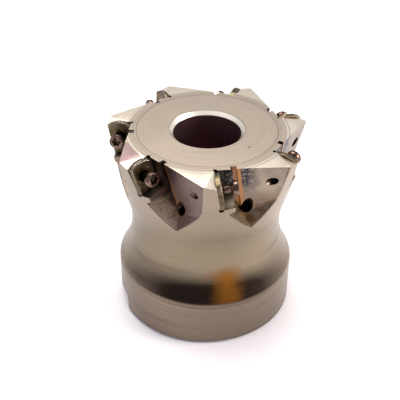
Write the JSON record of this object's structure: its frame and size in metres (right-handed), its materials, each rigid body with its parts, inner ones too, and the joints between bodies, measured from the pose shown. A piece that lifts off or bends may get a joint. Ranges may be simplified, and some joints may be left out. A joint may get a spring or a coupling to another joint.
{
  "type": "face mill",
  "caption": "Shell face mill body with chip gullets, screw-on insert seats with shims, and screws; bore and key slots fit an arbor.",
  "frame": {"origin": "centre of the back face that meets the arbor, on the cutter's axis", "axes": "+Z along the axis towards the cutting face; +X through the outer edge of the first insert seat; seats face counter-clockwise seen from +Z"},
  "size_m": [0.0643, 0.0646, 0.0661],
  "materials": {
    "body_steel": "turned and satin-worn tool steel",
    "shim_carbide": "ground carbide, darkened",
    "sleeve_steel": "turned steel",
    "screw_steel": "turned steel, darkened socket"
  },
  "bodies": {
    "mill": {"cutter_body": "body_steel", "shim_1": "shim_carbide", "shim_2": "shim_carbide", "shim_3": "shim_carbide", "shim_4": "shim_carbide", "shim_5": "shim_carbide", "shim_6": "shim_carbide", "shim_7": "shim_carbide", "shim_sleeve_1": "sleeve_steel", "shim_sleeve_2": "sleeve_steel", "shim_sleeve_3": "sleeve_steel", "shim_sleeve_4": "sleeve_steel", "shim_sleeve_5": "sleeve_steel", "shim_sleeve_6": "sleeve_steel", "shim_sleeve_7": "sleeve_steel"},
    "screw_1": {"insert_screw_1": "screw_steel"},
    "screw_2": {"insert_screw_2": "screw_steel"},
    "screw_3": {"insert_screw_3": "screw_steel"},
    "screw_4": {"insert_screw_4": "screw_steel"},
    "screw_5": {"insert_screw_5": "screw_steel"},
    "screw_6": {"insert_screw_6": "screw_steel"},
    "screw_7": {"insert_screw_7": "screw_steel"}
  },
  "joints": [
    {"name": "screw_1_slide", "type": "slide", "parent": "mill", "child": "screw_1", "axis": [0.0551, 0.9847, 0.165], "range_m": [-0.00245, 0.005]},
    {"name": "screw_2_slide", "type": "slide", "parent": "mill", "child": "screw_2", "axis": [-0.7356, 0.657, 0.165], "range_m": [-0.00245, 0.005]},
    {"name": "screw_3_slide", "type": "slide", "parent": "mill", "child": "screw_3", "axis": [-0.9723, -0.1655, 0.165], "range_m": [-0.00245, 0.005]},
    {"name": "screw_4_slide", "type": "slide", "parent": "mill", "child": "screw_4", "axis": [-0.4769, -0.8633, 0.165], "range_m": [-0.00245, 0.005]},
    {"name": "screw_5_slide", "type": "slide", "parent": "mill", "child": "screw_5", "axis": [0.3777, -0.9111, 0.165], "range_m": [-0.00245, 0.005]},
    {"name": "screw_6_slide", "type": "slide", "parent": "mill", "child": "screw_6", "axis": [0.9478, -0.2728, 0.165], "range_m": [-0.00245, 0.005]},
    {"name": "screw_7_slide", "type": "slide", "parent": "mill", "child": "screw_7", "axis": [0.8042, 0.5709, 0.165], "range_m": [-0.00245, 0.005]}
  ]
}
